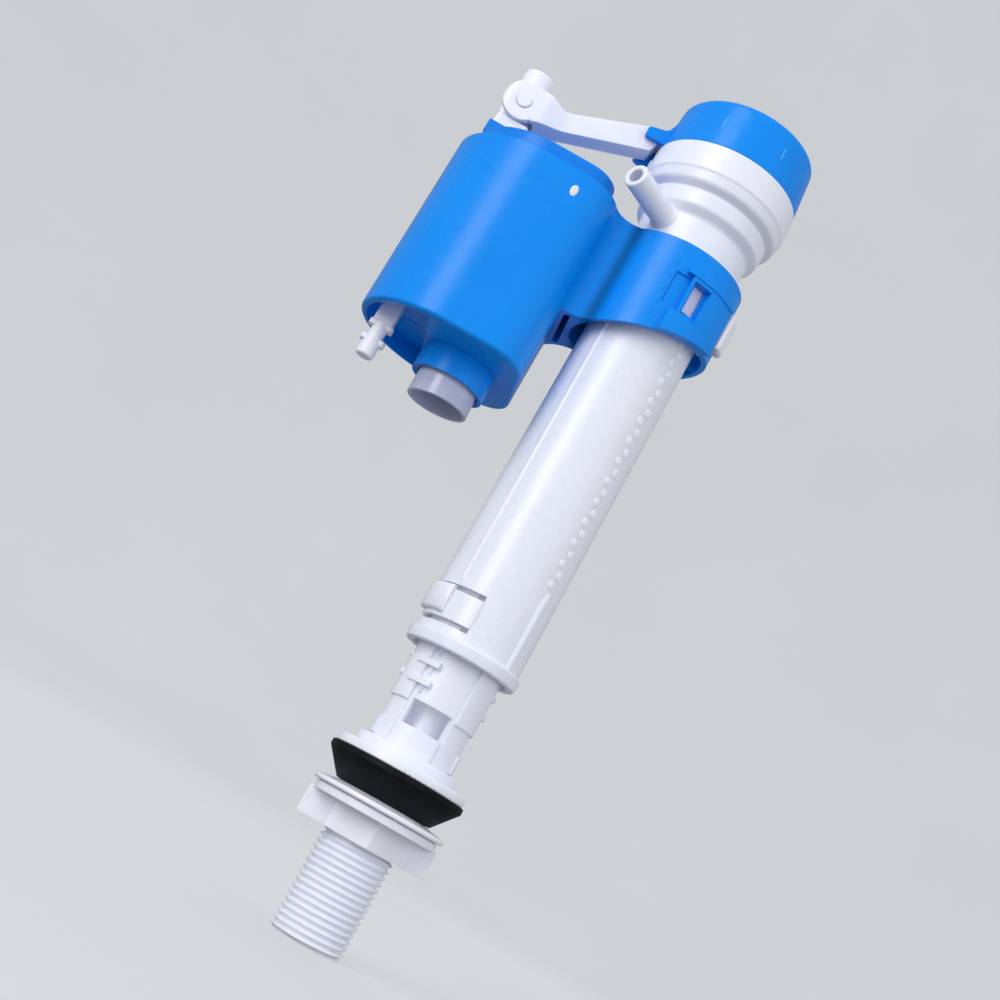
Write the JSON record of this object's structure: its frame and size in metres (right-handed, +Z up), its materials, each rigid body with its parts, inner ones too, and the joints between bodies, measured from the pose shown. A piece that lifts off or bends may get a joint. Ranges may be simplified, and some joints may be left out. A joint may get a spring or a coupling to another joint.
{
  "type": "toilet fill valve",
  "caption": "Telescoping toilet fill valve with a float in a side cup, a lever pilot valve, a threaded shank, lock nut and tank gasket.",
  "frame": {"origin": "centre of the threaded shank's lower end face", "axes": "+Z up the tube axis; -X towards the float cup; the refill nozzle points to -X and -Y"},
  "size_m": [0.0966, 0.054, 0.2607],
  "materials": {
    "white_moulding": "satin white polypropylene, slightly translucent",
    "white_tube": "satin white polypropylene tube",
    "white_lever": "satin white acetal",
    "blue_plastic": "glossy azure blue",
    "blue_float": "glossy azure blue",
    "black_rubber": "matte black",
    "seal_rubber": "smooth black",
    "frosted_plastic": "milky translucent"
  },
  "bodies": {
    "base": {"threaded_shank": "white_moulding", "tank_gasket": "black_rubber", "inlet_filter": "white_lever", "riser_o_rings": "seal_rubber"},
    "washer": {"slip_washer": "white_moulding"},
    "nut": {"lock_nut": "white_moulding"},
    "riser": {"outer_tube": "white_tube", "valve_head": "white_moulding", "supply_tube": "white_tube", "diaphragm": "seal_rubber", "diaphragm_core": "white_lever", "bleed_pin": "white_lever", "pilot_plate": "white_moulding", "plate_o_ring": "seal_rubber", "valve_cap": "blue_plastic"},
    "latch": {"height_latch": "white_tube"},
    "pilot": {"pilot_plunger": "white_lever", "pilot_seal": "seal_rubber"},
    "lever": {"lever_arm": "white_lever"},
    "swivel": {"screw_swivel": "white_lever", "float_hook": "white_lever"},
    "screw": {"adjusting_screw": "white_lever"},
    "float": {"inner_float": "blue_float", "float_base": "blue_float"},
    "cup": {"float_cup": "blue_plastic", "float_guide_pin": "white_lever"},
    "clip": {"cup_lock_clip": "white_lever"},
    "drain": {"drain_cup": "frosted_plastic", "drain_seal": "seal_rubber"}
  },
  "joints": [
    {"name": "washer_travel", "type": "slide", "parent": "base", "child": "washer", "axis": [0, 0, 1], "range_m": [-0.02722, 0]},
    {"name": "nut_turn", "type": "hinge", "parent": "washer", "child": "nut", "pos_m": [0, 0, 0.032], "axis": [0, 0, 1], "range_deg": [-5400, 0]},
    {"name": "height_adjust", "type": "slide", "parent": "base", "child": "riser", "axis": [0, 0, 1], "range_m": [-0.024, 0.03]},
    {"name": "latch_flex", "type": "hinge", "parent": "riser", "child": "latch", "pos_m": [-0.00275, -0.01561, 0.093], "axis": [0, 0, 1], "range_deg": [0, 6.5], "stiffness_Nm_per_rad": 0.06},
    {"name": "float_rise", "type": "slide", "parent": "riser", "child": "float", "axis": [0, 0, 1], "range_m": [0, 0.0081]},
    {"name": "lever_pivot", "type": "hinge", "parent": "riser", "child": "lever", "pos_m": [-0.0259, 0, 0.246], "axis": [0, 1, 0], "range_deg": [0, 12]},
    {"name": "pilot_press", "type": "slide", "parent": "riser", "child": "pilot", "axis": [0, 0, 1], "range_m": [-0.0021, 0]},
    {"name": "knuckle", "type": "hinge", "parent": "lever", "child": "swivel", "pos_m": [-0.064, 0, 0.2344], "axis": [0, 1, 0], "range_deg": [-12, 0]},
    {"name": "screw_turn", "type": "hinge", "parent": "swivel", "child": "screw", "pos_m": [-0.064, 0, 0.2409], "axis": [0, 0, 1], "continuous": true},
    {"name": "cup_height", "type": "slide", "parent": "riser", "child": "cup", "axis": [0, 0, 1], "range_m": [-0.012, 0]},
    {"name": "clip_lock", "type": "hinge", "parent": "cup", "child": "clip", "pos_m": [0, 0, 0.2], "axis": [0, 0, 1], "range_deg": [0, 7]},
    {"name": "drain_lift", "type": "slide", "parent": "cup", "child": "drain", "axis": [0, 0, 1], "range_m": [0, 0.0019]}
  ],
  "couplings": [
    {"joint": "washer_travel", "follows": "nut_turn", "m_per_rad": 0.00028877},
    {"joint": "float_rise", "follows": "lever_pivot", "m_per_rad": 0.0382},
    {"joint": "knuckle", "follows": "lever_pivot", "ratio": -1},
    {"joint": "pilot_press", "follows": "lever_pivot", "m_per_rad": -0.0099}
  ]
}
